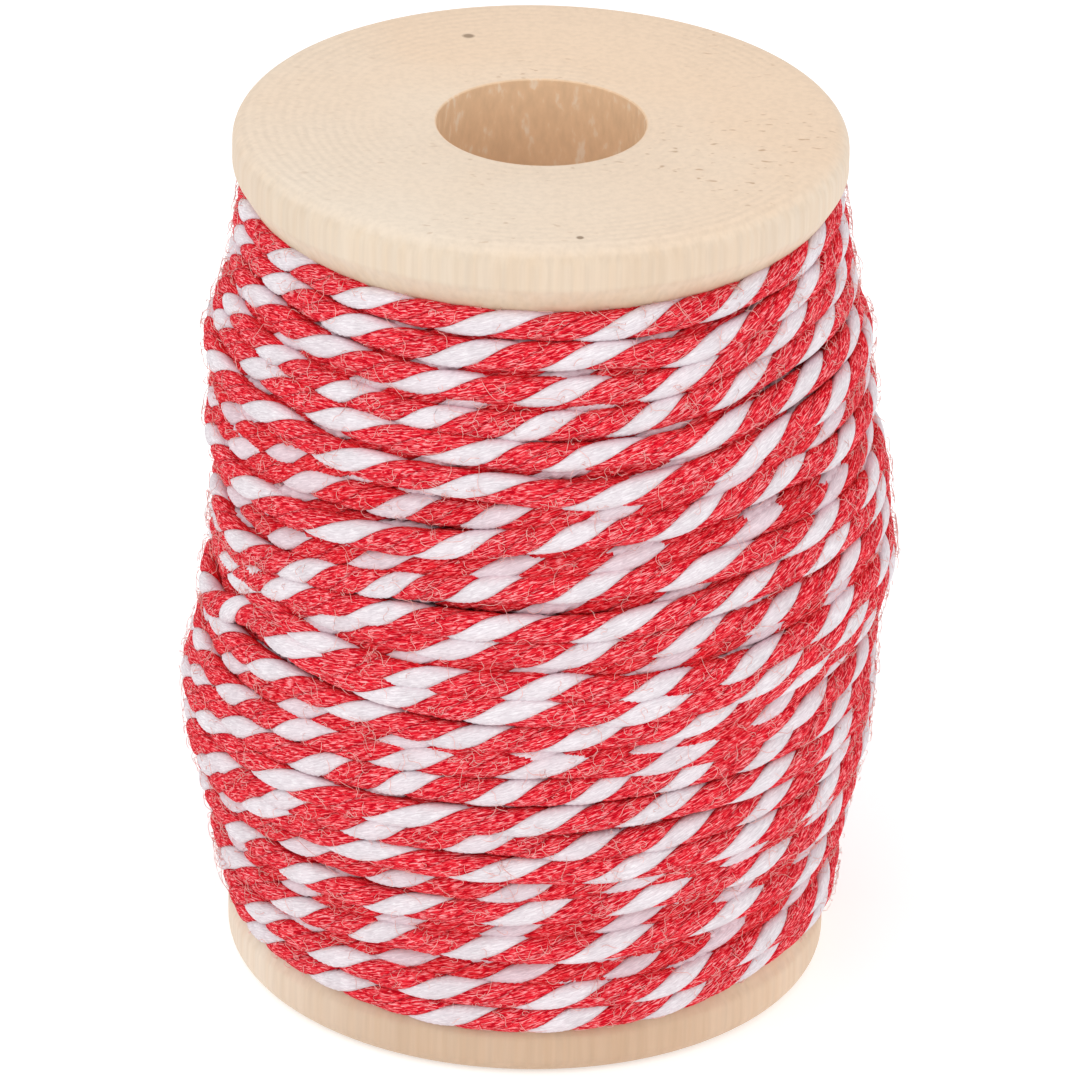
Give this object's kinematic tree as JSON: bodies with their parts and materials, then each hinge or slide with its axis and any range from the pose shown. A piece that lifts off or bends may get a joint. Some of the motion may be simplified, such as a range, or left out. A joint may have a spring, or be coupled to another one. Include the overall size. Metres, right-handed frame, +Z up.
{
  "type": "spool of cotton twine",
  "caption": "Turned wooden spool, standing upright on a flange, wound full of red and white twisted cotton twine that bulges past the flanges; a bore runs through it.",
  "frame": {"origin": "centre of the foot, on the surface that the spool stands on", "axes": "+Z up along the spool's bore, -Y towards the viewer of the picture, +X to the right"},
  "size_m": [0.0523, 0.0511, 0.0664],
  "materials": {
    "wood": "bare turned wood",
    "twine_red": "dyed cotton yarn",
    "twine_white": "bleached cotton yarn"
  },
  "bodies": {
    "root": {"spool": "wood", "winding": "twine_red"}
  },
  "joints": []
}
